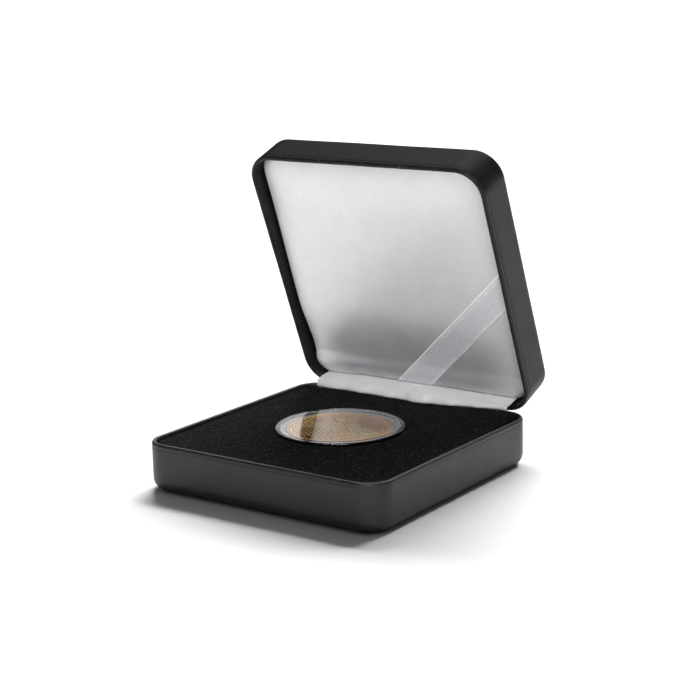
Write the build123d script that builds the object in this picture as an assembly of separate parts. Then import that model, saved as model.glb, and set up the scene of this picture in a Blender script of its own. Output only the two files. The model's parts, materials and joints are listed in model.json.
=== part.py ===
from build123d import *
import os
from math import atan2, degrees, hypot

# A hinged presentation case holding a two-part clear coin capsule with its coin.
# Frame: origin at the centre of the underside, +Z up, hinge at +Y, front at -Y. Millimetres.
# The lid's parts are laid out in the closed position and then turned to the open stop.

# ---- the case
CASE_W = 85.0            # outside width and depth of both halves
BASE_H = 15.2            # base, underside to rim
LID_H = 13.8             # lid, rim to top
SEAM = 0.5               # air between the two rims when shut
OPEN_DEG = 68.7          # shut to the open stop
BASE_CORNER_R = 8.0      # plan corners of the base
LID_CORNER_R = 9.0       # plan corners of the lid
BASE_EDGE_R = 3.8        # walls into the underside
LID_EDGE_R = 2.4         # walls into the lid's top

SKIN_T = 0.3             # leatherette
SHELL_T = 0.8            # pressed shell under it
TURN_IN = 6.0            # leatherette turned in over the rim
LIP_ROUND = 0.485        # lip radius as a share of the wall: just short of a full round

# ---- the hinge
KNUCKLE_R = 1.2
PIN_R = 0.6
RUN_GAP = 0.05           # lid knuckles turn on the pin
LEAF_REACH = 9.0         # hinge line to a leaf's far edge
LEAF_GAP = 0.15          # a leaf's cut-outs round the other leaf's knuckles
CENTRE_KNUCKLE_W = 9.6
LID_KNUCKLE_W = 7.6
END_KNUCKLE_W = 7.0
KNUCKLE_GAP = 0.2
SPRING_W = 5.6
SPRING_T = 0.2
SPRING_PLAY = 0.9        # either side of a bow spring
SPRING_REACH = 7.0
WINDOW_PLAY_X = 1.0      # back wall cut away round the knuckles
WINDOW_PLAY_Z = 0.35
RIVET_R = 0.9
RIVET_DROP = 5.1         # hinge line to the rivets

# ---- the satin strip that hides the hinge
STRIP_LEFT = -36.2       # its ends stop short of the rounded corners
STRIP_RIGHT = 35.6
STRIP_T = 0.3
STRIP_R = 1.5            # its inside bend round the knuckles
STRIP_REACH = 6.0        # tucked in behind the insert and behind the lid pad

# ---- the base's insert
SIDE_PLAY = 0.2          # insert to wall
VELVET_DROP = 1.2        # rim to velvet
VELVET_T = 0.8
VELVET_EDGE_T = 0.5      # where it turns down the board's edge and lines the recess
BOARD_T = 2.0
RECESS_PLAY = 0.2        # capsule to velvet, all round
RECESS_PAD_T = 0.8
FOAM_EDGE_R = 3.0

# ---- the capsule and the coin
CAPSULE_R = 19.7
CAPSULE_H = 6.2
CAPSULE_PROUD = 0.8      # above the base's rim
CAP_FLOOR_T = 1.5        # floor of the lower half
CAP_ROOF_T = 1.7         # roof of the upper half
CAP_EDGE_R = 0.6
CAP_RING_IN_R = 16.45    # upstanding ring round the coin
CAP_RING_OUT_R = 18.2
CAP_SKIRT_IN_R = 18.35   # upper half's skirt, outside that ring
CAP_PARTING = 0.15
COIN_R = 16.3
COIN_T = 2.8
COIN_RIM_W = 1.0
COIN_RIM_H = 0.15

# ---- the lid's pad
PAD_PLAY = 0.4           # pad to wall
PAD_BACK_ROOM = 0.4      # pad to the satin strip
PAD_DROP = 2.2           # lid rim to the pad's crown
PAD_EDGE_R = 2.0
SATIN_T = 0.4
PAD_H = 4.7              # crown to the back of the pad's board
PAD_BOARD_T = 1.4
SPACER_EDGE_R = 1.5
RIBBON_W = 8.0
RIBBON_T = 0.25
RIBBON_SIDE_Y = -0.25    # middle of the ribbon at the pad's right edge
RIBBON_BACK_X = -1.45    # middle of the ribbon at the pad's hinge edge
RIBBON_WRAP = 3.1        # down the pad's sides from its crown

# ---- worked out from those
HALF = CASE_W / 2
WALL = SHELL_T + 2 * SKIN_T
INNER = HALF - WALL
RIM_Z = BASE_H
LID_RIM_Z = RIM_Z + SEAM
LID_TOP_Z = LID_RIM_Z + LID_H
HINGE_Y = HALF - WALL / 2
HINGE_Z = RIM_Z + SEAM / 2
FLOOR_Z = SKIN_T + SHELL_T
CEILING_Z = LID_TOP_Z - SKIN_T - SHELL_T
STRIP_FRONT_Y = HINGE_Y - STRIP_R - STRIP_T

SPRING_X = CENTRE_KNUCKLE_W / 2 + SPRING_PLAY
LID_KNUCKLE_X = SPRING_X + SPRING_W + SPRING_PLAY
END_KNUCKLE_X = LID_KNUCKLE_X + LID_KNUCKLE_W + KNUCKLE_GAP
HINGE_HALF_L = END_KNUCKLE_X + END_KNUCKLE_W
WINDOW_HALF_L = HINGE_HALF_L + WINDOW_PLAY_X
WINDOW_HALF_H = KNUCKLE_R + WINDOW_PLAY_Z

VELVET_Z = RIM_Z - VELVET_DROP
BOARD_TOP_Z = VELVET_Z - VELVET_T
FOAM_TOP_Z = BOARD_TOP_Z - BOARD_T
CAPSULE_TOP_Z = RIM_Z + CAPSULE_PROUD
CAPSULE_Z = CAPSULE_TOP_Z - CAPSULE_H
RECESS_R = CAPSULE_R + RECESS_PLAY
RECESS_CUT_R = RECESS_R + VELVET_EDGE_T
RECESS_PAD_Z = CAPSULE_Z - RECESS_PAD_T
COIN_Z = CAPSULE_Z + CAP_FLOOR_T

PAD_CROWN_Z = LID_RIM_Z + PAD_DROP
PAD_BACK_Z = PAD_CROWN_Z + PAD_H
PAD_BOARD_Z = PAD_BACK_Z - PAD_BOARD_T


def block(x0, x1, y0, y1, z0, z1):
    """Plain box between two corners."""
    return Pos((x0 + x1) / 2, (y0 + y1) / 2, (z0 + z1) / 2) * Box(x1 - x0, y1 - y0, z1 - z0)


def slab(half, back_y, corner_r, z0, z1):
    """Upright block with rounded plan corners: x and -y reach half, +y reaches back_y."""
    plan = Pos(0, (back_y - half) / 2, z0) * RectangleRounded(2 * half, half + back_y, corner_r)
    return extrude(plan, amount=z1 - z0, dir=(0, 0, 1))


def low_edges(solid):
    return solid.edges().group_by(Axis.Z)[0]


def high_edges(solid):
    return solid.edges().group_by(Axis.Z)[-1]


def disc(radius, z0, z1):
    return Pos(0, 0, (z0 + z1) / 2) * Cylinder(radius, z1 - z0)


def rod_x(radius, x0, x1):
    """Cylinder along the hinge line."""
    return Pos((x0 + x1) / 2, HINGE_Y, HINGE_Z) * Rot(0, 90, 0) * Cylinder(radius, x1 - x0)


def open_lid(solid):
    """Turns a part of the closed lid to the open stop."""
    to_axis = Pos(0, HINGE_Y, HINGE_Z)
    from_axis = Pos(0, -HINGE_Y, -HINGE_Z)
    return to_axis * Rot(-OPEN_DEG, 0, 0) * from_axis * solid


def both_sides(x0, x1):
    """One span along the hinge and its mirror image."""
    return [(-x1, -x0), (x0, x1)]


BASE_KNUCKLES = [(-CENTRE_KNUCKLE_W / 2, CENTRE_KNUCKLE_W / 2)] + both_sides(END_KNUCKLE_X, HINGE_HALF_L)
LID_KNUCKLES = both_sides(LID_KNUCKLE_X, LID_KNUCKLE_X + LID_KNUCKLE_W)
SPRINGS = both_sides(SPRING_X, SPRING_X + SPRING_W)


def rivets(side):
    """Four flush rivets through a leaf, the turned-in leatherette and the shell's back wall."""
    y0 = HINGE_Y - KNUCKLE_R
    y1 = HALF - SKIN_T
    z = HINGE_Z + side * RIVET_DROP
    inner_x = SPRING_X + SPRING_W + SPRING_PLAY + LID_KNUCKLE_W / 2
    outer_x = END_KNUCKLE_X + END_KNUCKLE_W / 2
    group = []
    for x in (-outer_x, -inner_x, inner_x, outer_x):
        group.append(Pos(x, (y0 + y1) / 2, z) * Rot(90, 0, 0) * Cylinder(RIVET_R, y1 - y0))
    return group


def hinge_window(margin):
    """Cut in the back walls round the knuckles, grown or shrunk by margin."""
    x = WINDOW_HALF_L + margin
    z = WINDOW_HALF_H + margin
    return block(-x, x, INNER - WALL, HALF + WALL, HINGE_Z - z, HINGE_Z + z)


def tub(half, corner_r, edge_r, wall, floor_z, rim_z):
    """Open shell with a flat floor, rounded edges and a rounded lip, mouth at rim_z."""
    mouth_up = rim_z > floor_z
    step = wall if mouth_up else -wall
    floor_edges = low_edges if mouth_up else high_edges
    rim_edges = high_edges if mouth_up else low_edges
    outer = slab(half, half, corner_r, min(floor_z, rim_z), max(floor_z, rim_z))
    outer = fillet(floor_edges(outer), edge_r)
    deep = rim_z + step
    low, high = sorted((floor_z + step, deep))
    hollow = slab(half - wall, half - wall, corner_r - wall, low, high)
    hollow = fillet(floor_edges(hollow), edge_r - wall)
    shell = outer - hollow
    return fillet(rim_edges(shell), wall * LIP_ROUND)


def pressed_shell(corner_r, edge_r, floor_z, rim_z, side):
    """The stiff shell of one half, with its hinge window and rivet holes."""
    inward = SKIN_T if rim_z > floor_z else -SKIN_T
    shell = tub(HALF - SKIN_T, corner_r - SKIN_T, edge_r - SKIN_T, SHELL_T, floor_z + inward, rim_z - inward)
    shell -= hinge_window(SKIN_T)
    for rivet in rivets(side):
        shell -= rivet
    return shell


def leatherette(shell, corner_r, edge_r, floor_z, rim_z, side):
    """The skin round the outside of a shell, over its rim and down the inside."""
    mouth_up = rim_z > floor_z
    sign = 1 if mouth_up else -1
    floor_edges = low_edges if mouth_up else high_edges
    rim_edges = high_edges if mouth_up else low_edges
    turn_z = rim_z - sign * TURN_IN
    past_rim = rim_z + sign * WALL
    inner_floor = floor_z + sign * (SKIN_T + SHELL_T)
    outer = slab(HALF, HALF, corner_r, min(floor_z, rim_z), max(floor_z, rim_z))
    outer = fillet(floor_edges(outer), edge_r)
    mouth = slab(INNER, INNER, corner_r - WALL, min(turn_z, past_rim), max(turn_z, past_rim))
    skin = outer - mouth
    skin = fillet(rim_edges(skin), WALL * LIP_ROUND)
    well_half = HALF - SKIN_T - SHELL_T
    well_r = corner_r - SKIN_T - SHELL_T
    well = slab(well_half, well_half, well_r, min(inner_floor, turn_z), max(inner_floor, turn_z))
    well = fillet(floor_edges(well), edge_r - SKIN_T - SHELL_T)
    skin = skin - well - shell - hinge_window(0)
    for rivet in rivets(side):
        skin -= rivet
    return skin


def hinge_leaf(side, knuckles, hole_r):
    """A flat leaf against the back wall, with knuckles rolled round the hinge line."""
    y0 = HINGE_Y - KNUCKLE_R
    near = HINGE_Z + side * (KNUCKLE_R + LEAF_GAP)
    far = HINGE_Z + side * LEAF_REACH
    leaf = block(-HINGE_HALF_L, HINGE_HALF_L, y0, INNER, min(near, far), max(near, far))
    for x0, x1 in knuckles:
        leaf += block(x0, x1, y0, INNER, min(HINGE_Z, near), max(HINGE_Z, near))
        leaf += rod_x(KNUCKLE_R, x0, x1)
    leaf -= rod_x(hole_r, -HINGE_HALF_L, HINGE_HALF_L)
    for rivet in rivets(side):
        leaf -= rivet
    return leaf


def hinge_pin():
    pin = rod_x(PIN_R, -HINGE_HALF_L, HINGE_HALF_L)
    return chamfer(pin.edges().filter_by(GeomType.CIRCLE), PIN_R / 4)


def bent_strip(inner_r, thickness, x0, x1, reach):
    """Strip lying on both leaves and bent round the hinge line, with the lid open."""
    y0 = HINGE_Y - inner_r - thickness
    y1 = HINGE_Y - inner_r
    base_leg = block(x0, x1, y0, y1, HINGE_Z - reach, HINGE_Z)
    lid_leg = open_lid(block(x0, x1, y0, y1, HINGE_Z, HINGE_Z + reach))
    section = Pos((x0 + x1) / 2, (y0 + y1) / 2, HINGE_Z) * Rectangle(x1 - x0, thickness)
    line = Axis((0, HINGE_Y, HINGE_Z), (-1, 0, 0))
    bend = revolve(section, axis=line, revolution_arc=OPEN_DEG)
    return base_leg + bend + lid_leg


def insert_foam():
    foam = slab(INNER - SIDE_PLAY, STRIP_FRONT_Y - STRIP_T / 3, BASE_CORNER_R - WALL, FLOOR_Z, FOAM_TOP_Z)
    foam = fillet(low_edges(foam), FOAM_EDGE_R)
    return foam - disc(RECESS_CUT_R, RECESS_PAD_Z, FOAM_TOP_Z)


def insert_board():
    half = INNER - SIDE_PLAY - VELVET_EDGE_T
    back = STRIP_FRONT_Y - STRIP_T / 3 - VELVET_EDGE_T
    board = slab(half, back, BASE_CORNER_R - WALL - VELVET_EDGE_T, FOAM_TOP_Z, BOARD_TOP_Z)
    return board - disc(RECESS_CUT_R, FOAM_TOP_Z, BOARD_TOP_Z)


def insert_velvet(board):
    """Velvet over the board, turned down its outer edge and into the recess."""
    half = INNER - SIDE_PLAY
    cloth = slab(half, STRIP_FRONT_Y - STRIP_T / 3, BASE_CORNER_R - WALL, FOAM_TOP_Z, VELVET_Z)
    cloth = fillet(high_edges(cloth), VELVET_T)
    cloth = cloth - board
    cloth += disc(RECESS_CUT_R, CAPSULE_Z, FOAM_TOP_Z)
    return cloth - disc(RECESS_R, CAPSULE_Z, VELVET_Z)


def capsule_bottom():
    """Lower half: a floor and a ring that centres the coin."""
    floor = disc(CAPSULE_R, CAPSULE_Z, COIN_Z)
    floor = fillet(low_edges(floor), CAP_EDGE_R)
    ring = disc(CAP_RING_OUT_R, COIN_Z, COIN_Z + COIN_T) - disc(CAP_RING_IN_R, COIN_Z, COIN_Z + COIN_T)
    ring = chamfer(high_edges(ring), CAP_PARTING)
    return floor + ring


def capsule_top():
    """Upper half: a roof and a skirt that snaps over the lower half's ring."""
    cup = disc(CAPSULE_R, COIN_Z + CAP_PARTING, CAPSULE_TOP_Z)
    cup = fillet(high_edges(cup), CAP_EDGE_R)
    return cup - disc(CAP_SKIRT_IN_R, COIN_Z + CAP_PARTING, CAPSULE_TOP_Z - CAP_ROOF_T)


def coin():
    """Round blank with a raised rim on both faces."""
    top = COIN_Z + COIN_T
    blank = disc(COIN_R, COIN_Z, top)
    blank = chamfer(blank.edges().filter_by(GeomType.CIRCLE), COIN_RIM_H)
    blank -= disc(COIN_R - COIN_RIM_W, top - COIN_RIM_H, top)
    return blank - disc(COIN_R - COIN_RIM_W, COIN_Z, COIN_Z + COIN_RIM_H)


def pad_slab(inset, crown_z, back_z, edge_r):
    """One layer of the lid's pad: smaller all round by inset, with a rounded crown edge."""
    half = INNER - PAD_PLAY - inset
    back = STRIP_FRONT_Y - PAD_BACK_ROOM - inset
    layer = slab(half, back, LID_CORNER_R - WALL - inset, crown_z, back_z)
    return fillet(low_edges(layer), edge_r)


def lid_board():
    half = INNER - PAD_PLAY - SATIN_T
    back = STRIP_FRONT_Y - PAD_BACK_ROOM - SATIN_T
    return slab(half, back, LID_CORNER_R - WALL - SATIN_T, PAD_BOARD_Z, PAD_BACK_Z)


def lid_spacer():
    half = INNER - PAD_PLAY
    back = STRIP_FRONT_Y - PAD_BACK_ROOM
    spacer = slab(half, back, LID_CORNER_R - WALL, PAD_BACK_Z, CEILING_Z)
    return fillet(high_edges(spacer), SPACER_EDGE_R)


def corner_ribbon():
    """Ribbon across one corner of the pad, turned down its edges; it holds a certificate."""
    over = pad_slab(-RIBBON_T, PAD_CROWN_Z - RIBBON_T, PAD_BACK_Z, PAD_EDGE_R + RIBBON_T)
    under = pad_slab(0, PAD_CROWN_Z, PAD_BACK_Z, PAD_EDGE_R)
    side_x = INNER - PAD_PLAY
    back_y = STRIP_FRONT_Y - PAD_BACK_ROOM
    run_x = RIBBON_BACK_X - side_x
    run_y = back_y - RIBBON_SIDE_Y
    middle = Pos(side_x + run_x / 2, RIBBON_SIDE_Y + run_y / 2, PAD_CROWN_Z)
    turn = Rot(0, 0, degrees(atan2(run_y, run_x)))
    length = hypot(run_x, run_y) + 2 * RIBBON_W
    band = middle * turn * Box(length, RIBBON_W, 2 * RIBBON_WRAP)
    return (over - under) & band


def main():
    base_shell = pressed_shell(BASE_CORNER_R, BASE_EDGE_R, 0, RIM_Z, -1)
    lid_shell = pressed_shell(LID_CORNER_R, LID_EDGE_R, LID_TOP_Z, LID_RIM_Z, 1)
    board = insert_board()
    pad_foam = pad_slab(SATIN_T, PAD_CROWN_Z + SATIN_T, PAD_BOARD_Z, PAD_EDGE_R - SATIN_T)
    pad_board = lid_board()
    springs = [bent_strip(KNUCKLE_R, SPRING_T, x0, x1, SPRING_REACH) for x0, x1 in SPRINGS]

    parts = {
        "base_shell": base_shell,
        "base_cover": leatherette(base_shell, BASE_CORNER_R, BASE_EDGE_R, 0, RIM_Z, -1),
        "hinge_leaf_base": hinge_leaf(-1, BASE_KNUCKLES, PIN_R),
        "hinge_rivets_base": Compound(children=rivets(-1)),
        "hinge_pin": hinge_pin(),
        "hinge_springs": Compound(children=springs),
        "hinge_strip": bent_strip(STRIP_R, STRIP_T, STRIP_LEFT, STRIP_RIGHT, STRIP_REACH),
        "insert_foam": insert_foam(),
        "insert_board": board,
        "insert_velvet": insert_velvet(board),
        "recess_pad": disc(RECESS_CUT_R, RECESS_PAD_Z, CAPSULE_Z),
        "capsule_bottom": capsule_bottom(),
        "capsule_top": capsule_top(),
        "coin": coin(),
    }
    closed_lid = {
        "lid_shell": lid_shell,
        "lid_cover": leatherette(lid_shell, LID_CORNER_R, LID_EDGE_R, LID_TOP_Z, LID_RIM_Z, 1),
        "hinge_leaf_lid": hinge_leaf(1, LID_KNUCKLES, PIN_R + RUN_GAP),
        "hinge_rivets_lid": Compound(children=rivets(1)),
        "lid_spacer": lid_spacer(),
        "lid_board": pad_board,
        "lid_foam": pad_foam,
        "lid_satin": pad_slab(0, PAD_CROWN_Z, PAD_BACK_Z, PAD_EDGE_R) - pad_foam - pad_board,
        "corner_ribbon": corner_ribbon(),
    }
    for name, solid in closed_lid.items():
        parts[name] = open_lid(solid)

    os.makedirs("parts", exist_ok=True)
    for name, solid in parts.items():
        export_step(solid, "parts/" + name + ".step")


main()
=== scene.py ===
import json
from math import atan2, copysign, cos, exp, pi, radians, sin, sqrt, tan

import bmesh
import bpy
import numpy as np
from mathutils import Matrix, Vector
from mathutils.bvhtree import BVHTree


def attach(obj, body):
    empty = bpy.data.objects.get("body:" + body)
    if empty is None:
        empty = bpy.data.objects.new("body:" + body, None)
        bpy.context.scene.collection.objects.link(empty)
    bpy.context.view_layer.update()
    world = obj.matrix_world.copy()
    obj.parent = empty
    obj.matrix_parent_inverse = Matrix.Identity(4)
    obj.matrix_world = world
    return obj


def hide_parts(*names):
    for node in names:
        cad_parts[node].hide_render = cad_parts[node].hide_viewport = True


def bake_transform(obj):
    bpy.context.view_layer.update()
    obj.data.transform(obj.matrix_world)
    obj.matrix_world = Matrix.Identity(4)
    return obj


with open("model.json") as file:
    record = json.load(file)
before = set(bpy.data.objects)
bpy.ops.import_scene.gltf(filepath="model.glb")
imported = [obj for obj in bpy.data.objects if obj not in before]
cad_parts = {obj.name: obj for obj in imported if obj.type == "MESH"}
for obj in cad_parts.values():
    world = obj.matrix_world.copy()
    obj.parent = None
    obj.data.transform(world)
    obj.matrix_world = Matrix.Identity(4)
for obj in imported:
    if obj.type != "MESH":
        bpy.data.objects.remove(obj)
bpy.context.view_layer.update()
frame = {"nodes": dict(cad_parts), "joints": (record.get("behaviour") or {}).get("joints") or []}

# Lengths below are in millimetres until mesh_piece() turns them into metres.
MM = 0.001
TAU = 2 * pi
NODES = frame["nodes"]

# ---- the frame's own sizes
HINGE = next(j for j in frame["joints"] if j["name"] == "lid_hinge")
HINGE_Y = HINGE["pos_m"][1] / MM
HINGE_Z = HINGE["pos_m"][2] / MM
OPEN = radians(HINGE["range_deg"][1])


def turn_lid(points, angle):
    """Points turned about the hinge line; a positive angle shuts the open lid."""
    p = np.asarray(points, float)
    y, z = p[..., 1] - HINGE_Y, p[..., 2] - HINGE_Z
    c, s = cos(angle), sin(angle)
    return np.stack([p[..., 0], HINGE_Y + c * y - s * z, HINGE_Z + s * y + c * z], -1)


def open_lid(points):
    """Closed-lid points turned to where the lid stands at rest."""
    return turn_lid(points, -OPEN)


def coordinates(mesh):
    """A mesh's points in metres."""
    co = np.empty(len(mesh.vertices) * 3)
    mesh.vertices.foreach_get("co", co)
    return co.reshape(-1, 3)


def box(name, shut_by=0.0):
    """Lowest and highest corner of a CAD node, once turned by an angle about the hinge."""
    p = turn_lid(coordinates(NODES[name].data) / MM, shut_by)
    return p.min(0), p.max(0)


BASE_HIGH = box("base_cover")[1]
LID_LOW, LID_HIGH = box("lid_cover", OPEN)
HALF = BASE_HIGH[0]
BASE_H = BASE_HIGH[2]
LID_TOP = LID_HIGH[2]
LID_H = LID_TOP - LID_LOW[2]
SEAM = (BASE_H + LID_LOW[2]) / 2
PAD_LOW, PAD_HIGH = box("lid_satin", OPEN)
VELVET_LOW, VELVET_HIGH = box("insert_velvet")
RECESS_LOW, RECESS_HIGH = box("recess_pad")
TRAY_LOW, TRAY_HIGH = box("capsule_bottom")
CAP_LOW, CAP_HIGH = box("capsule_top")
COIN_LOW, COIN_HIGH = box("coin")

# The case's own thicknesses, plan corners and rounded outer edges.
SKIN = 0.3
WALL = 1.4
BASE_CORNER = 8.0
LID_CORNER = 9.0
BASE_EDGE = 3.8
LID_EDGE = 2.4
TURN_IN = 6.0
KNUCKLE_R = 1.2
RIBBON_W = 9.2
# Half the hinge window's width in the back walls, and how far the lip dips there.
WINDOW_X = 28.0
WINDOW_DIP = BASE_H - (HINGE_Z - 1.55)


# ---- small tools
def smooth(t):
    t = np.clip(t, 0.0, 1.0)
    return t * t * (3 - 2 * t)


def ripple(p, length, seed):
    """Smooth deterministic noise from -1 to 1, with features about `length` mm long."""
    rng = np.random.default_rng(seed)
    p = np.asarray(p, float)
    total = np.zeros(p.shape[:-1])
    waves = 7
    for _ in range(waves):
        k = rng.normal(size=p.shape[-1])
        k *= TAU / length * rng.uniform(0.6, 1.5) / np.linalg.norm(k)
        total += np.sin(p @ k + rng.uniform(0, TAU))
    return total / sqrt(waves) / 1.6


def mesh_piece(name, points, faces):
    """A mesh object from points in millimetres, with its faces turned outwards."""
    mesh = bpy.data.meshes.new(name)
    mesh.from_pydata([tuple(v) for v in np.asarray(points, float) * MM], [], faces)
    mesh.validate()
    bm = bmesh.new()
    bm.from_mesh(mesh)
    bmesh.ops.recalc_face_normals(bm, faces=bm.faces)
    bm.to_mesh(mesh)
    bm.free()
    mesh.polygons.foreach_set("use_smooth", [True] * len(mesh.polygons))
    obj = bpy.data.objects.new(name, mesh)
    bpy.context.scene.collection.objects.link(obj)
    return obj


def walls(rings):
    """Quads between each ring of point numbers and the next."""
    faces = []
    for low, high in zip(rings, rings[1:]):
        faces += [(a, b, d, c) for a, b, c, d in zip(low, low[1:] + low[:1], high, high[1:] + high[:1])]
    return faces


def ring_faces(rows, columns, wrap_rows=False):
    """The same for rings numbered in order; wrap_rows joins the last one to the first."""
    rings = [list(range(i * columns, (i + 1) * columns)) for i in range(rows)]
    return walls(rings + rings[:1] if wrap_rows else rings)


def fan(ring, hub):
    """Triangles from a ring of point numbers to one point."""
    ring = list(ring)
    return [(a, b, hub) for a, b in zip(ring, ring[1:] + ring[:1])]


def grid_faces(nu, nv):
    """Quads of an nu by nv grid of points."""
    starts = [i * nv + j for i in range(nu - 1) for j in range(nv - 1)]
    return [(a, a + 1, a + nv + 1, a + nv) for a in starts]


def turned_over(faces, shift=0):
    """The same quads seen from behind, with shift added to their point numbers."""
    return [(a + shift, d + shift, c + shift, b + shift) for a, b, c, d in faces]


def grid_border(nu, nv):
    """Point numbers along the border of an nu by nv grid, in order round it."""
    walk = [(i, 0) for i in range(nu - 1)] + [(nu - 1, j) for j in range(nv - 1)]
    walk += [(i, nv - 1) for i in range(nu - 1, 0, -1)] + [(0, j) for j in range(nv - 1, 0, -1)]
    return [i * nv + j for i, j in walk]


def turned(r, z, a):
    """A ring of points round the upright axis, one for each angle."""
    return np.column_stack([r * np.cos(a), r * np.sin(a), z + 0 * a])


def ring_stack(name, rings, low_z, high_z):
    """A piece from rings of points, closed at either end by a point on the axis."""
    size = len(rings[0])
    end = len(rings) * size
    faces = ring_faces(len(rings), size) + fan(range(size), end) + fan(range(end - size, end), end + 1)
    return mesh_piece(name, np.concatenate(rings + [[[0, 0, low_z], [0, 0, high_z]]]), faces)


def cloth_strip(name, centre, thickness):
    """A closed sheet of that thickness round a grid of centre points, shape (nu, nv, 3)."""
    normal = np.cross(np.gradient(centre, axis=0), np.gradient(centre, axis=1))
    normal /= np.linalg.norm(normal, axis=-1, keepdims=True)
    sides = [(centre + s * normal * thickness / 2).reshape(-1, 3) for s in (1, -1)]
    nu, nv = centre.shape[:2]
    shift = nu * nv
    quads = grid_faces(nu, nv)
    edge = grid_border(nu, nv)
    faces = quads + turned_over(quads, shift) + walls([edge, [e + shift for e in edge]])
    return mesh_piece(name, np.concatenate(sides), faces)


def set_uv(obj, uv):
    """UV points, in millimetres, for a cloth strip's grid, used for both its faces."""
    uv = np.concatenate([uv.reshape(-1, 2)] * 2)
    layer = obj.data.uv_layers.new(name="cloth_mm")
    index = np.empty(len(obj.data.loops), int)
    obj.data.loops.foreach_get("vertex_index", index)
    layer.data.foreach_set("uv", uv[index].ravel())


def straight(a, b, step, extra=()):
    """Positions from a up to, not including, b, about step apart, with extra ones added."""
    count = max(1, round(abs(b - a) / step))
    marks = list(np.linspace(a, b, count, endpoint=False))
    low, high = min(a, b), max(a, b)
    marks += [e for e in extra if low < e < high]
    return sorted(marks, reverse=bool(b < a))


def outline(half, back, corner, step, corner_steps, back_marks=()):
    """Rounded-square outline, anticlockwise from the front left: points and outward normals."""
    x, y0, y1 = half - corner, corner - half, back - corner
    sides = (
        ([(m, -half) for m in straight(-x, x, step)], x, y0),
        ([(half, m) for m in straight(y0, y1, step)], x, y1),
        ([(m, back) for m in straight(x, -x, step, back_marks)], -x, y1),
        ([(-half, m) for m in straight(y1, y0, step)], -x, y0),
    )
    points, normals = [], []
    for number, (side, cx, cy) in enumerate(sides):
        start = 90 * number - 90
        points += side
        normals += [(round(cos(radians(start))), round(sin(radians(start))))] * len(side)
        for i in range(corner_steps):
            a = radians(start + 90 * i / corner_steps)
            points.append((cx + corner * cos(a), cy + corner * sin(a)))
            normals.append((cos(a), sin(a)))
    return np.array(points, float), np.array(normals, float)


def arc(cx, cz, r, start, end, count):
    """Points (inset, height) of an arc, degrees anticlockwise from +inset."""
    a = np.radians(np.linspace(start, end, count))
    return [(cx + r * cos(t), cz + r * sin(t)) for t in a]


# ---- nodes for materials
def put(tree, kind, inputs=None, **props):
    """Adds a node. An input value that is a socket is linked, anything else is set."""
    node = tree.nodes.new(kind)
    for key, value in props.items():
        setattr(node, key, value)
    for key, value in (inputs or {}).items():
        if isinstance(value, bpy.types.NodeSocket):
            tree.links.new(value, node.inputs[key])
        else:
            node.inputs[key].default_value = value
    return node


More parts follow.
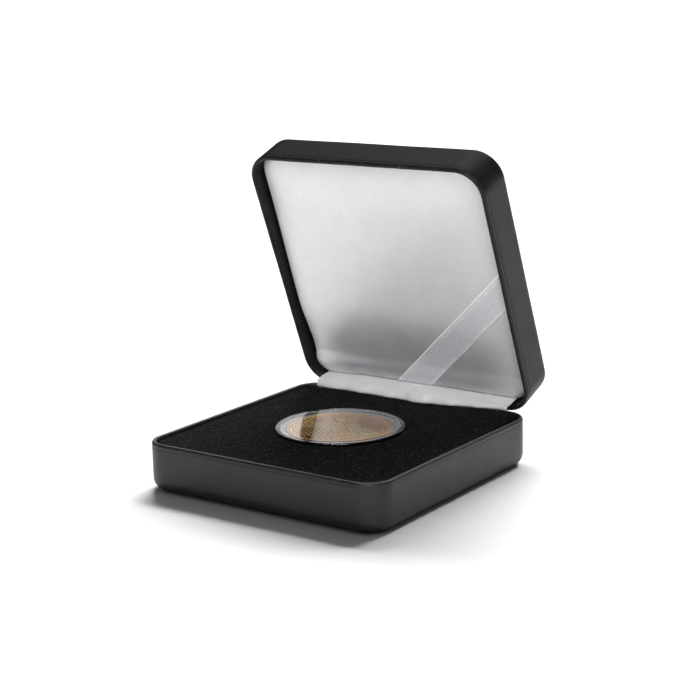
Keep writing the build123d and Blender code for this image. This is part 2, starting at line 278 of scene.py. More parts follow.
class Graph:
    """The nodes of one new material; values are its Principled shader's constants."""

    def __init__(self, name, **values):
        self.material = bpy.data.materials.new(name)
        self.material.use_nodes = True
        self.tree = self.material.node_tree
        self.shader = self.tree.nodes["Principled BSDF"]
        for key, value in values.items():
            self.shader.inputs[key.replace("_", " ")].default_value = value

    def node(self, kind, inputs, output=0, **props):
        """One output, by number or name, of a new node."""
        return put(self.tree, "ShaderNode" + kind, inputs, **props).outputs[output]

    def math(self, operation, a, b=0.0):
        return self.node("Math", {0: a, 1: b}, operation=operation)

    def times(self, a, b):
        return self.math("MULTIPLY", a, b)

    def plus(self, a, b):
        return self.math("ADD", a, b)

    def minus(self, a, b):
        return self.math("SUBTRACT", a, b)

    def remap(self, value, low, high, to_low=0.0, to_high=1.0, kind="LINEAR"):
        """Maps low to to_low and high, which may be the smaller, to to_high; held beyond both."""
        inputs = {"Value": value, "From Min": low, "From Max": high, "To Min": to_low, "To Max": to_high}
        return self.node("MapRange", inputs, interpolation_type=kind)

    def split(self, vector):
        """X, Y and Z of a vector."""
        return put(self.tree, "ShaderNodeSeparateXYZ", {"Vector": vector}).outputs

    def stretched(self, vector, factors):
        return self.node("VectorMath", {0: vector, 1: factors}, operation="MULTIPLY")

    def millimetres(self, turn=0.0, stretch=(1, 1, 1)):
        """Object coordinates in millimetres; turn lays the open lid flat again."""
        vector = self.node("TexCoord", {}, "Object")
        if turn:
            pin = (0, HINGE_Y * MM, HINGE_Z * MM)
            inputs = {"Vector": vector, "Center": pin, "Angle": turn}
            vector = self.node("VectorRotate", inputs, rotation_type="X_AXIS")
        return self.stretched(vector, tuple(s / MM for s in stretch))

    def closed_mm(self):
        return self.millimetres(OPEN)

    def uv_mm(self):
        return self.node("UVMap", {}, uv_map="cloth_mm")

    def noise(self, vector, scale, detail=4.0, roughness=0.55):
        inputs = {"Vector": vector, "Scale": scale, "Detail": detail, "Roughness": roughness}
        return self.node("TexNoise", inputs, "Fac")

    def cells(self, vector, scale):
        return self.node("TexVoronoi", {"Vector": vector, "Scale": scale}, "Distance")

    def ramp(self, fac, *stops):
        """Colour ramp from (position, (r, g, b)) stops."""
        node = put(self.tree, "ShaderNodeValToRGB", {"Fac": fac})
        elements = node.color_ramp.elements
        while len(elements) < len(stops):
            elements.new(0.5)
        for element, (position, colour) in zip(elements, stops):
            element.position = position
            element.color = (*colour, 1)
        return node.outputs["Color"]

    def mix(self, factor, socket, colour):
        """The socket's colour where factor is 0, the given colour where it is 1."""
        inputs = {"Factor": factor, "A": socket, "B": (*colour, 1)}
        return self.node("Mix", inputs, "Result", data_type="RGBA")

    def done(self, colour, layers, rough=None):
        """The material, with colour, roughness and relief from (height, millimetres, strength) layers."""
        normal = None
        for height, distance, strength in layers:
            inputs = {"Height": height, "Distance": distance * MM, "Strength": strength}
            if normal is not None:
                inputs["Normal"] = normal
            normal = self.node("Bump", inputs, "Normal")
        for name, socket in (("Base Color", colour), ("Normal", normal), ("Roughness", rough)):
            if socket is not None:
                self.tree.links.new(socket, self.shader.inputs[name])
        return self.material


def grey(v):
    return (v, v, v)


def tinted(v):
    """The leatherette's near-black, a touch towards plum."""
    return (v * 1.06, v * 0.96, v)


# ---- materials
def leatherette_material(name, turn, gloss):
    """Black grained leatherette with a low gloss; the lips where the halves meet are rubbed."""
    g = Graph(name, IOR=1.5, Specular_IOR_Level=gloss)
    mm = g.millimetres(turn)
    pebble_inputs = {"Vector": mm, "Scale": 2.6, "Smoothness": 0.6}
    pebble = g.node("TexVoronoi", pebble_inputs, "Distance", feature="SMOOTH_F1")
    fine = g.noise(mm, 4.0, 3)
    streaks = g.noise(g.millimetres(turn, (2.6, 2.6, 0.16)), 1.2, 5, 0.6)
    cloud = g.noise(mm, 0.12)
    tone = g.plus(g.times(streaks, 0.35), g.times(cloud, 0.65))
    colour = g.ramp(tone, (0.3, tinted(0.0045)), (0.5, tinted(0.0085)), (0.7, tinted(0.014)))
    from_seam = g.math("ABSOLUTE", g.minus(g.split(mm)[2], SEAM))
    lip = g.remap(from_seam, 1.0, 0.75)
    rubs = g.noise(g.millimetres(turn, (0.5, 0.5, 0.5)), 1.5, 6, 0.75)
    wear = g.times(g.remap(rubs, 0.58, 0.72), lip)
    worn = g.mix(wear, colour, (0.11, 0.10, 0.095))
    rough = g.minus(g.remap(cloud, 0.3, 0.7, 0.40, 0.50), g.times(wear, 0.15))
    return g.done(worn, ((pebble, 0.04, 0.5), (fine, 0.02, 0.5), (streaks, 0.03, 0.4)), rough)


def velvet_material():
    """Black velvet: matt, with scattered lighter pile tips and a soft sheen at grazing angles."""
    g = Graph("black_velvet", Roughness=0.95, Specular_IOR_Level=0.04, Sheen_Weight=0.025,
              Sheen_Roughness=0.45, Sheen_Tint=(0.55, 0.55, 0.56, 1))
    mm = g.millimetres()
    tips = g.cells(mm, 2.9)
    clumps = g.noise(mm, 1.1, 5, 0.75)
    pile = g.noise(mm, 2.2, 3, 0.75)
    stops = ((0.14, grey(0.001)), (0.26, grey(0.003)), (0.36, grey(0.017)), (0.46, grey(0.11)))
    colour = g.ramp(g.times(clumps, pile), *stops)
    return g.done(colour, ((pile, 0.25, 0.9), (tips, 0.18, 0.6), (clumps, 0.5, 0.5)))


def painted_hinge_shade(g, vector):
    """0 to 1: painted shade, a soft dark band above the hinge edge, standing in for the black velvet below
    that the satin reflects and that keeps light off it.
    """
    parts = g.split(vector)
    drift = g.times(g.minus(g.noise(vector, 0.07, 2), 0.5), 10.0)
    y = g.plus(parts[1], drift)
    start = g.remap(y, 10.0, 32.0, kind="SMOOTHSTEP")
    end = g.remap(y, 40.5, 36.5, 0.35, kind="SMOOTHSTEP")
    left = g.remap(parts[0], -41.0, -26.0, kind="SMOOTHSTEP")
    right = g.remap(parts[0], 42.0, 22.0, kind="SMOOTHSTEP")
    return g.times(g.times(start, end), g.times(left, right))


# The wave texture's scale that sets its bands about 1 mm apart.
BANDS_1MM = 0.3183


def satin_material(name, surface, pitch, slant, gloss, tint, relief=1.0, painted_shade=0.0):
    """White satin: glossy floats in a fine twill, with slubs and slight colour variation; painted_shade adds
    a painted dark band above the hinge edge.
    """
    g = Graph(name, Metallic=gloss, Specular_IOR_Level=0.7, Sheen_Weight=0.1, Sheen_Roughness=0.3)
    vector = surface(g)
    rotation = {"Vector": vector, "Angle": radians(slant)}
    slanted = g.node("VectorRotate", rotation, rotation_type="Z_AXIS")
    scale = 1 / pitch * BANDS_1MM
    twill = {"Vector": slanted, "Scale": scale, "Distortion": 0.5, "Detail": 2.0, "Detail Scale": 1.5}
    wave = g.node("TexWave", twill, "Fac")
    yarn = g.noise(g.stretched(slanted, (1.6, 0.4, 1.0)), 1.2, 4, 0.65)
    cloud = g.noise(vector, 0.12, 3)
    mixed = g.plus(g.plus(g.times(wave, 0.45), g.times(yarn, 0.35)), g.times(cloud, 0.2))
    dark = tuple(0.78 * c for c in tint)
    light = tuple(min(1.0, 1.1 * c) for c in tint)
    colour = g.ramp(mixed, (0.2, dark), (0.5, tint), (0.8, light))
    # Painted shade: a dark violet-grey is mixed in over the band above the hinge edge.
    if painted_shade:
        colour = g.mix(g.times(painted_hinge_shade(g, vector), painted_shade), colour, (0.17, 0.155, 0.19))
    deep = 0.04 * relief
    return g.done(colour, ((wave, deep, 0.6), (yarn, deep, 0.6)), g.remap(yarn, 0.0, 1.0, 0.32, 0.46))


def stripe(g, across, place, half_width):
    """1 within half_width of the line at place, with a soft edge."""
    off = g.math("ABSOLUTE", g.minus(across, place))
    return g.remap(off, half_width + 0.08, half_width - 0.04)


def ribbon_material():
    """Satin ribbon in a dot weave: one edge a raised selvedge painted as a white highlight line, with a
    painted dashed glint beside it, and painted glints along the other edge.
    """
    g = Graph("ribbon_satin", Metallic=0.12, Specular_IOR_Level=0.8, Sheen_Weight=0.1, Sheen_Roughness=0.3)
    dot = 0.62
    half = RIBBON_W / 2
    uv = g.uv_mm()
    along, across = g.split(uv)[:2]
    warp = g.math("SINE", g.times(along, TAU / dot))
    weft = g.math("SINE", g.times(across, TAU / dot))
    weave = g.times(warp, weft)
    specks = g.noise(g.stretched(uv, (1.5, 2.0, 1.0)), 1.2, 3, 0.75)
    broken = g.remap(specks, 0.46, 0.54)
    # Painted highlights: the corded edge is a raised selvedge painted as a white highlight line; the broken
    # line beside it and the one along the other edge are painted glints.
    corded_edge_highlight = stripe(g, across, half - 0.25, 0.28)
    painted_dash_glints = g.times(stripe(g, across, half - 1.25, 0.2), broken)
    painted_edge_glints = g.times(stripe(g, across, 0.5 - half, 0.48), broken)
    selvedge_and_glints = g.math("MAXIMUM", g.math("MAXIMUM", corded_edge_highlight, painted_dash_glints), painted_edge_glints)
    grain = g.noise(uv, 1.6, 5, 0.6)
    tone = g.plus(g.times(weave, 0.2), grain)
    colour = g.ramp(tone, (0.25, (0.62, 0.61, 0.65)), (0.5, (0.76, 0.75, 0.79)), (0.8, (0.88, 0.87, 0.90)))
    # The highlight line and the glints are painted pure white into the colour.
    with_highlights = g.mix(selvedge_and_glints, colour, grey(1.0))
    height = g.plus(g.times(weave, 0.3), g.times(selvedge_and_glints, 1.5))
    return g.done(with_highlights, ((height, 0.05, 0.6),), g.remap(grain, 0.0, 1.0, 0.28, 0.42))


def plastic_material(name, clear, dull, tint):
    """Capsule plastic with faint scuffs, as rough as dull; clear is how much light goes through."""
    g = Graph(name, IOR=1.49, Transmission_Weight=clear)
    scuffs = g.noise(g.millimetres(0.0, (0.2, 2.2, 1.0)), 1.1, 6, 0.7)
    colour = g.ramp(scuffs, (0.3, tuple(0.97 * c for c in tint)), (0.7, tint))
    return g.done(colour, ((scuffs, 0.001, 0.2),), g.remap(scuffs, 0.45, 0.8, 0.0, dull))


def coin_material():
    """Struck gold-coloured metal: frosted, brighter relief over a polished field."""
    g = Graph("struck_gold", Metallic=1.0)
    mm = g.millimetres()
    frost = g.noise(mm, 6.0, 5, 0.7)
    rise = g.math("ABSOLUTE", g.minus(g.split(mm)[2], (COIN_LOW[2] + COIN_HIGH[2]) / 2))
    top = (COIN_HIGH[2] - COIN_LOW[2]) / 2
    polish = g.remap(rise, top - 0.26, top - 0.1)
    tone = g.plus(g.times(frost, 0.4), g.times(polish, 0.6))
    colour = g.ramp(tone, (0.1, (0.80, 0.39, 0.08)), (0.3, (0.98, 0.53, 0.14)), (0.6, (1.0, 0.76, 0.34)))
    return g.done(colour, ((frost, 0.004, 0.4),), g.remap(polish, 0.0, 1.0, 0.1, 0.26))


def steel_material():
    """Plated hinge steel, drawn along the hinge line."""
    g = Graph("hinge_steel", Metallic=1.0)
    lines = g.noise(g.millimetres(0.0, (0.15, 6.0, 6.0)), 1.5, 4, 0.6)
    colour = g.ramp(lines, (0.3, (0.42, 0.42, 0.43)), (0.7, (0.62, 0.61, 0.60)))
    return g.done(colour, ((lines, 0.01, 0.4),), g.remap(lines, 0.0, 1.0, 0.2, 0.45))


def shell_material():
    """Black lacquer on the pressed shells, seen only through gaps."""
    g = Graph("shell_lacquer", Roughness=0.5)
    peel = g.noise(g.millimetres(), 1.6, 3)
    return g.done(g.ramp(peel, (0.3, grey(0.012)), (0.7, grey(0.024))), ((peel, 0.02, 0.4),))


def foam_material():
    """Grey open-cell foam."""
    g = Graph("foam", Roughness=0.95)
    cells = g.cells(g.millimetres(), 2.2)
    return g.done(g.ramp(cells, (0.05, grey(0.09)), (0.45, grey(0.24))), ((cells, 0.2, 0.8),))


def board_material():
    """Grey-brown pulp board."""
    g = Graph("pulp_board", Roughness=0.9)
    fibres = g.noise(g.millimetres(0.0, (0.6, 3.0, 3.0)), 1.4, 6, 0.7)
    colour = g.ramp(fibres, (0.3, (0.22, 0.19, 0.16)), (0.7, (0.42, 0.38, 0.33)))
    return g.done(colour, ((fibres, 0.05, 0.6),))


def floor_material():
    """Plain pale studio floor."""
    pale = (0.92, 0.92, 0.92, 1)
    return Graph("studio_paper", Roughness=0.9, Specular_IOR_Level=0.1, Base_Color=pale).material


BASE_LEATHER = leatherette_material("leatherette_base", 0.0, 0.5)
LID_LEATHER = leatherette_material("leatherette_lid", OPEN, 0.25)
VELVET = velvet_material()
# The pad's last argument, 0.55, is how strong its painted shade above the hinge edge is.
PAD_SATIN = satin_material("satin_pad_cloth", Graph.closed_mm, 0.72, 40, 0.2, (0.80, 0.785, 0.80), 1.0, 0.55)
# The strip's satin has a whiter tint than the pad's: painted light, lifting the strip where the lid shades
# it. The pad's greyer tint is painted shade against the front light.
STRIP_SATIN = satin_material("satin_strip_cloth", Graph.uv_mm, 0.5, 52, 0.05, (0.94, 0.925, 0.94), 2.0)
RIBBON = ribbon_material()
PLASTIC = plastic_material("clear_plastic", 1.0, 0.01, (0.99, 0.985, 0.99))
FROSTED = plastic_material("frosted_plastic", 0.5, 0.25, (0.90, 0.855, 0.88))
GOLD = coin_material()
STEEL = steel_material()
SHELL = shell_material()
FOAM = foam_material()
BOARD = board_material()


def finish_piece(obj, material, node):
    """Gives a piece its material and hides the CAD node it stands in for."""
    obj.data.materials.append(material)
    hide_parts(node)


# ---- leatherette wraps
GROOVE = 0.09
LIP_RISE = 1.0
# The profile's first OUTER_ROWS rows are the outer face; from INSIDE_ROW on, it has turned to the inside.
OUTER_ROWS = 45
INSIDE_ROW = 38
PLEATS = 150


def wrap_profile(h, edge):
    """(inset, height above the outside floor) from the floor, over the lip at h and back."""
    lip = np.radians(np.linspace(180, 90, 8))
    return np.array([
        (6.4, 0.0),
        (edge + 0.6, 0.0),
        *arc(edge, edge, edge, 270, 180, 11),
        *((0.0, z) for z in np.linspace(edge, h - 1.75, 9)[1:]),
        (0.03, h - 1.6), (GROOVE, h - 1.45), (0.07, h - 1.32), (0.0, h - 1.2),
        *((0.7 + 0.7 * cos(a), h - LIP_RISE + LIP_RISE * sin(a)) for a in lip),
        *arc(0.7, h - 0.7, 0.7, 90, 0, 8)[1:],
        *((WALL, h - d) for d in (1.6, 3.0, 4.5, TURN_IN - 0.1)),
        (WALL - 0.08, h - TURN_IN), (WALL - SKIN + 0.06, h - TURN_IN),
        *((WALL - SKIN, h - d) for d in (TURN_IN - 0.1, 4.0, 2.0)),
        *arc(0.7, h - 0.75, 0.4, 0, 180, 7),
        *((SKIN, z) for z in (h - 2.0, h - 4.0, edge + 2.0)),
        *arc(edge, edge, edge - SKIN, 180, 270, 8),
        (edge + 0.6, SKIN),
        (6.4, SKIN),
    ])


def leather_wrap(name, height, corner, edge, place, seed):
    """The skin of one half; place maps (x, y, height above the outside floor) to the row frame."""
    marks = [s * m for s in (-1, 1) for m in np.linspace(WINDOW_X - 1.0, WINDOW_X + 0.5, 13)]
    path, normal = outline(HALF, HALF, corner, 0.9, 24, marks)
    rows = wrap_profile(height, edge)
    number = np.arange(len(rows))[:, None]
    count = len(path)
    inset, rise = rows[:, :1], rows[:, 1:]
    x, y = path.T[:, None]
    nx, ny = normal.T[:, None]
    at_back = (y > HALF - 0.01) & (np.abs(x) < WINDOW_X)
    dip = np.where(at_back, WINDOW_DIP * smooth((WINDOW_X - 0.02 - np.abs(x)) / 0.7), 0.0)
    rise = rise - dip * smooth((rise - (height - TURN_IN)) / (TURN_IN - 1.75))
    outside = number < OUTER_ROWS
    sample = np.stack(np.broadcast_arrays(x, y, rise), -1)
    slow = ripple(sample, 34.0, seed) * 0.045
    lip = smooth((rise - (height - 2.2)) / 0.6) * ripple(sample, 3.2, seed + 1) * 0.028
    in_corner = np.clip(1 - np.abs(np.abs(nx) - np.abs(ny)) / 0.9, 0, 1)
    inner_side = (number >= INSIDE_ROW) & outside
    along = np.linspace(0, 1, count, endpoint=False)
    pleats = in_corner * inner_side * 0.10 * np.sin(along * TAU * PLEATS + ripple(sample, 9.0, seed + 2) * 2)
    push = np.where(outside, slow + lip, 0.0) - pleats
    inset = inset - np.where(inset > edge + 0.3, 0.0, push)
    points = place(np.stack(np.broadcast_arrays(x - nx * inset, y - ny * inset, rise), -1)).reshape(-1, 3)
    faces = ring_faces(len(rows), count)
    faces += [tuple(range(count)), tuple(range(len(points) - count, len(points)))]
    return mesh_piece(name, points, faces)


def upright(points):
    return points


def lid_place(points):
    """The lid's wrap is drawn floor down like the base's, so it is turned over before it is opened."""
    flipped = points.copy()
    flipped[..., 2] = LID_TOP - points[..., 2]
    return open_lid(flipped)


base_leather = leather_wrap("base_leather", BASE_H, BASE_CORNER, BASE_EDGE, upright, 11)
finish_piece(base_leather, BASE_LEATHER, "base_cover")
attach(base_leather, "base")

lid_leather = leather_wrap("lid_leather", LID_H, LID_CORNER, LID_EDGE, lid_place, 23)
finish_piece(lid_leather, LID_LEATHER, "lid_cover")
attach(lid_leather, "lid")


# ---- velvet insert and recess pad
SEAT_R = (RECESS_HIGH[0] - RECESS_LOW[0]) / 2 - 0.5
# The velvet's rolls over the board's edge and into the seat, and how far down it goes below its top.
EDGE_ROLL = 0.85
SEAT_ROLL = 0.4
BOARD_DROP = 0.8
FOOT_DROP = 2.8


def velvet_height(x, y):
    """The velvet sits a little proud towards the back right, and dips to the recess."""
    lean = 1.75 * smooth((x - 2) / 40) * smooth((y + 12) / 52)
    p = np.stack([x, y], -1)
    front = smooth(0.5 - y / (2 * SEAT_R))
    round_seat = (0.4 + 0.6 * front) * np.exp(-((np.hypot(x, y) - SEAT_R) / 5.0) ** 2)
    pile = 0.25 + 0.10 * ripple(p, 26.0, 5) + 0.035 * ripple(p, 2.6, 6)
    return VELVET_HIGH[2] + lean + round_seat + pile


def velvet_insert():
    """Closed rings from the seat's lining, over the top, down the insert's edge and back below."""
    path, normal = outline(VELVET_HIGH[0], VELVET_HIGH[1], BASE_CORNER - WALL, 0.55, 26)
    angle = np.arctan2(path[:, 1], path[:, 0])
    circle = np.stack([np.cos(angle), np.sin(angle)], -1)
    rings = []

    def ring(plan, z):
        rings.append(np.column_stack([plan, np.full(len(plan), z)]))

    low = VELVET_LOW[2]
    for z in (low, low + 1.2, low + 2.6):
        ring(circle * SEAT_R, z)
    for a in np.radians(np.linspace(0, 90, 7)):
        p = circle * (SEAT_R + SEAT_ROLL * (1 - cos(a)))
        ring(p, velvet_height(p[:, 0], p[:, 1]) - SEAT_ROLL * (1 - sin(a)))
    inner = circle * (SEAT_R + 0.45)
    outer = path - normal * EDGE_ROLL
    spans = 86
    for i in range(1, spans + 1):
        t = i / spans
        p = inner * (1 - t) + outer * t
        ring(p, velvet_height(p[:, 0], p[:, 1]))
    edge_z = velvet_height(outer[:, 0], outer[:, 1])
    for a in np.radians(np.linspace(80, 0, 6)):
        ring(path - normal * EDGE_ROLL * (1 - cos(a)), edge_z - EDGE_ROLL * (1 - sin(a)))
    board_top = VELVET_HIGH[2] - BOARD_DROP
    foot = VELVET_HIGH[2] - FOOT_DROP
    turned_in = path - normal * 0.5
    lining = circle * (SEAT_R + 0.5)
    ring(path, foot)
    ring(turned_in, foot)
    ring(turned_in, board_top)
    ring(lining, board_top)
    ring(lining, low)
    return mesh_piece("velvet_insert", np.concatenate(rings), ring_faces(len(rings), len(path), True))


def lathe(name, profile, steps):
    """Turns (radius, z) points, which start and end on the upright axis, round it."""
    a = np.linspace(0, TAU, steps, endpoint=False)
    rings = [turned(r, z, a) for r, z in profile if r > 0]
    return ring_stack(name, rings, profile[0][1], profile[-1][1])


def recess_velvet():
    """The disc below the capsule, its upper edge rounded."""
    r, z0, z1 = RECESS_HIGH[0] - 0.02, RECESS_LOW[2], RECESS_HIGH[2]
    top = [(x, z1 - 0.02) for x in (r - 0.25, *np.linspace(r - 1.0, 0.5, 24), 0)]
    rows = [(0, z0), (r * 0.5, z0), (r - 0.2, z0), (r, z0 + 0.2), (r, z1 - 0.25), (r - 0.07, z1 - 0.07)]
    return lathe("recess_velvet", rows + top, 200)


velvet = velvet_insert()
finish_piece(velvet, VELVET, "insert_velvet")
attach(velvet, "base")

recess = recess_velvet()
finish_piece(recess, VELVET, "recess_pad")
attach(recess, "base")


# ---- the lid's satin pad
# Modelled with the lid shut, face down, so that z grows from the crown to the board.
PAD_HALF = PAD_HIGH[0]
PAD_BACK = PAD_HIGH[1] + 0.5
PAD_CORNER = LID_CORNER - WALL - 1.5
PAD_CENTRE = np.array([0.0, (PAD_BACK - PAD_HALF) / 2])
CROWN_Z = PAD_LOW[2]
PAD_REAR_Z = PAD_HIGH[2]
BOARD_Z = box("lid_board", OPEN)[0][2]

# How much lower than the crown's top the pad's edge is, by the hinge and, more, at the front.
EDGE_FALL = 0.3
FRONT_FALL = 1.2
# A valley runs above the hinge edge, less deep beside that edge and at its left end.
VALLEY = 1.9
VALLEY_BACK = 1.1
VALLEY_LEFT = 0.5
# The satin sinks a little at these plan places near the hinge edge, where the foam is glued down.
DENTS = ((-27, 31.5), (-5.5, 26.5), (25, 31))
DENT_DEPTH = 0.45


def pad_back(x):
    """The pad's edge by the hinge droops a little to the left of the hinge's leaf."""
    return PAD_BACK + 0.4 * smooth((-x - 22) / 8)


def rounded_point(a, b):
    """Where a point of the -1 to 1 square's border lies on the pad's rounded outline."""
    r = PAD_CORNER
    hx, hy = PAD_HALF, (PAD_BACK + PAD_HALF) / 2
    x, y = a * hx, b * hy
    kx, ky = abs(x) - (hx - r), abs(y) - (hy - r)
    if kx > 0 and ky > 0:
        turn = atan2(ky, kx)
        x = copysign(hx - r + r * cos(turn), x)
        y = copysign(hy - r + r * sin(turn), y)
    y += PAD_CENTRE[1]
    return x, y + (pad_back(x) - PAD_BACK) * smooth((y - 20) / 20)


def ring_disc(ring, first, loop, rings=9):
    """Closes a ring with smaller copies of it and a middle point; returns new points and faces."""
    hub = ring.mean(0)
    size = len(ring)
    points = [hub + (ring - hub) * (1 - i / rings) for i in range(1, rings)]
    loops = [loop] + [list(range(first + i * size, first + (i + 1) * size)) for i in range(rings - 1)]
    faces = walls(loops) + fan(loops[-1], first + (rings - 1) * size)
    return np.concatenate(points + [hub[None, :]]), faces


def pad_face_z(x, y, gap):
    """Height of the pad's face; gap is the distance from its edge."""
    roll = 1.25 - 0.5 * smooth((y - 30) / 8)
    drop = roll - np.sqrt(np.clip(roll ** 2 - (roll - gap) ** 2, 0, None))
    edge_fall = np.where(gap < roll, drop, 0)
    fall = EDGE_FALL + FRONT_FALL * smooth((15 - y) / 50)
    z = CROWN_Z + 0.35 + fall * (1 - smooth(gap / 15.0)) + edge_fall * 0.95
    sink = smooth((y - 12) / 18) * (1 - 0.15 * smooth((x - 10) / 25))
    z += VALLEY * sink - VALLEY_BACK * smooth((y - 31.5) / 5)
    z -= VALLEY_LEFT * sink * smooth((-x - 24) / 14)
    z += 0.12 * ripple(np.stack([x, y], -1), 30.0, 41) * smooth(gap / 6)
    for dent_x, dent_y in DENTS:
        z += DENT_DEPTH * np.exp(-((x - dent_x) / 9.0) ** 2 - ((y - dent_y) / 4.5) ** 2)
    return z


def satin_pad():
    """Satin drawn over foam and round a board: crowned face, rolled edges, turned-in back."""
    n = 105
    t = np.linspace(-1, 1, n)
    a, b = (v.ravel() for v in np.meshgrid(t, t, indexing="ij"))
    c = np.maximum(np.abs(a), np.abs(b))
    safe = np.where(c > 0, c, 1)
    border = np.array([rounded_point(u, v) for u, v in zip(a / safe, b / safe)])
    plan = PAD_CENTRE + (border - PAD_CENTRE) * c[:, None]
    face = np.column_stack([plan, pad_face_z(plan[:, 0], plan[:, 1], PAD_HALF * (1 - c))])
    rim = grid_border(n, n)
    points = [face]
    edge_xy, edge_z = face[rim, :2], face[rim, 2]
    loops = [rim]
    total = len(face)
    outward = edge_xy - (PAD_CENTRE + (edge_xy - PAD_CENTRE) * 0.97)
    outward /= np.linalg.norm(outward, axis=1, keepdims=True)
    for t, pull in ((0.25, 0.0), (0.5, 0.05), (0.75, 0.0), (0.94, 0.0), (1.0, 0.25), (1.0, 1.2), (1.0, 3.2)):
        points.append(np.column_stack([edge_xy - outward * pull, edge_z + (PAD_REAR_Z - edge_z) * t]))
        loops.append(list(range(total, total + len(rim))))
        total += len(rim)
    back, back_faces = ring_disc(points[-1], total, loops[-1])
    points = np.concatenate(points + [back])
    faces = turned_over(grid_faces(n, n)) + walls(loops) + back_faces
    pinned = [i for loop in loops[3:] for i in loop] + list(range(total, len(points)))
    return points, faces, pinned


SATIN_CLOTH = {"vertex_group_mass": "pinned", "quality": 6, "mass": 0.12, "tension_stiffness": 12,
               "compression_stiffness": 8, "shear_stiffness": 4, "bending_stiffness": 0.02,
               "use_pressure": True}


def inflate(points, faces, pinned, pressure, frames, cap_mm):
    """The points after Blender's cloth with pressure and no gravity; none moves further than cap_mm."""
    trial = mesh_piece("satin_trial", points, faces)
    rest = coordinates(trial.data)
    trial.vertex_groups.new(name="pinned").add(pinned, 1.0, "REPLACE")
    modifier = trial.modifiers.new("Cloth", "CLOTH")
    for key, value in SATIN_CLOTH.items():
        setattr(modifier.settings, key, value)
    modifier.settings.uniform_pressure_force = pressure
    modifier.settings.effector_weights.gravity = 0
    modifier.collision_settings.use_collision = False
    modifier.collision_settings.use_self_collision = False
    modifier.point_cache.frame_end = frames
    scene = bpy.context.scene
    for number in range(1, frames + 1):
        scene.frame_set(number)
    graph = bpy.context.evaluated_depsgraph_get()
    shift = coordinates(trial.evaluated_get(graph).to_mesh()) - rest
    length = np.linalg.norm(shift, axis=1, keepdims=True)
    cap = cap_mm * MM
    shift *= np.tanh(length / cap) * cap / np.maximum(length, 1e-9)
    bpy.data.objects.remove(trial)
    scene.frame_set(1)
    return (rest + shift) / MM


def foam_cushion(points, faces):
    """The soft foam inside the satin: the pad's shape, one satin thickness in, down to its board."""
    inner = points.copy()
    inner[:, :2] = PAD_CENTRE + (inner[:, :2] - PAD_CENTRE) * (1 - 0.45 / PAD_HALF)
    inner[:, 2] = np.minimum(inner[:, 2] + 0.4, BOARD_Z)
    return mesh_piece("foam_cushion", open_lid(inner), faces)


pad_closed, pad_faces, pad_pinned = satin_pad()
pad_closed = inflate(pad_closed, pad_faces, pad_pinned, 0.9, 20, 0.6)
cushion = foam_cushion(pad_closed, pad_faces)
finish_piece(cushion, FOAM, "lid_foam")
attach(cushion, "lid")
pad = mesh_piece("satin_pad", open_lid(pad_closed), pad_faces)
pad_tree = BVHTree.FromPolygons([tuple(p) for p in pad_closed], pad_faces)
finish_piece(pad, PAD_SATIN, "lid_satin")
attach(pad, "lid")


# ---- the ribbon across the pad's corner
RIBBON_SIDE_Y = -1.0
RIBBON_BACK_X = -2.6
RIBBON_T = 0.22
RIBBON_TUCK = 2.6


def pad_z(x, y):
    """Height of the pad's face in the closed frame under a plan point, or None past its edge."""
    hit = pad_tree.ray_cast(Vector((x, y, 0.0)), Vector((0, 0, 1)))
    return None if hit[0] is None else hit[0].z


def pad_edge_limits(start, direction):
    """How far a plan line runs over the pad, both ways from its start."""
    limits = []
    for sign in (-1, 1):
        low, high = 0.0, 80.0
        for _ in range(24):
            mid = (low + high) / 2
            x, y = start + direction * sign * mid
            if pad_z(x, y) is None:
                high = mid
            else:
                low = mid
        limits.append(sign * low)
    return limits


def corner_ribbon():
    """Lanes side by side over the pad, each turned down at its edge; returns the piece and its UVs."""
    side = np.array([PAD_HALF, RIBBON_SIDE_Y])
    back = np.array([RIBBON_BACK_X, PAD_BACK])
    along = (back - side) / np.linalg.norm(back - side)
    across = np.array([-along[1], along[0]])
    middle = (side + back) / 2
    half_w = RIBBON_W / 2
    lanes = np.linspace(-half_w, half_w, 27)
    nu = 150
    grid = np.zeros((nu, len(lanes), 3))
    uv = np.zeros((nu, len(lanes), 2))
    for j, v in enumerate(lanes):
        start = middle + across * v
        low, high = pad_edge_limits(start, along)
        selvedge = 0.09 * exp(-((abs(v) - half_w + 0.85) / 0.28) ** 2)
        lift = RIBBON_T / 2 + 0.03 + selvedge
        for i, d in enumerate(np.linspace(low - RIBBON_TUCK, high + RIBBON_TUCK, nu)):
            inside = min(max(d, low + 0.02), high - 0.02)
            x, y = start + along * inside
            over = abs(d - inside)
            lean = exp(-min(inside - low, high - inside) / 0.8)
            out = along * (1 if d > 0 else -1) * lean * lift
            grid[i, j] = (x + out[0], y + out[1], pad_z(x, y) - lift * (1 - 0.75 * lean) + over)
            uv[i, j] = (d, v)
    return cloth_strip("corner_ribbon_cloth", open_lid(grid), RIBBON_T), uv


ribbon, ribbon_uv = corner_ribbon()
set_uv(ribbon, ribbon_uv)
finish_piece(ribbon, RIBBON, "corner_ribbon")
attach(ribbon, "lid")


# ---- the satin strip over the hinge
STRIP_LEFT, STRIP_RIGHT = -37.4, 35.4
STRIP_T = 0.26


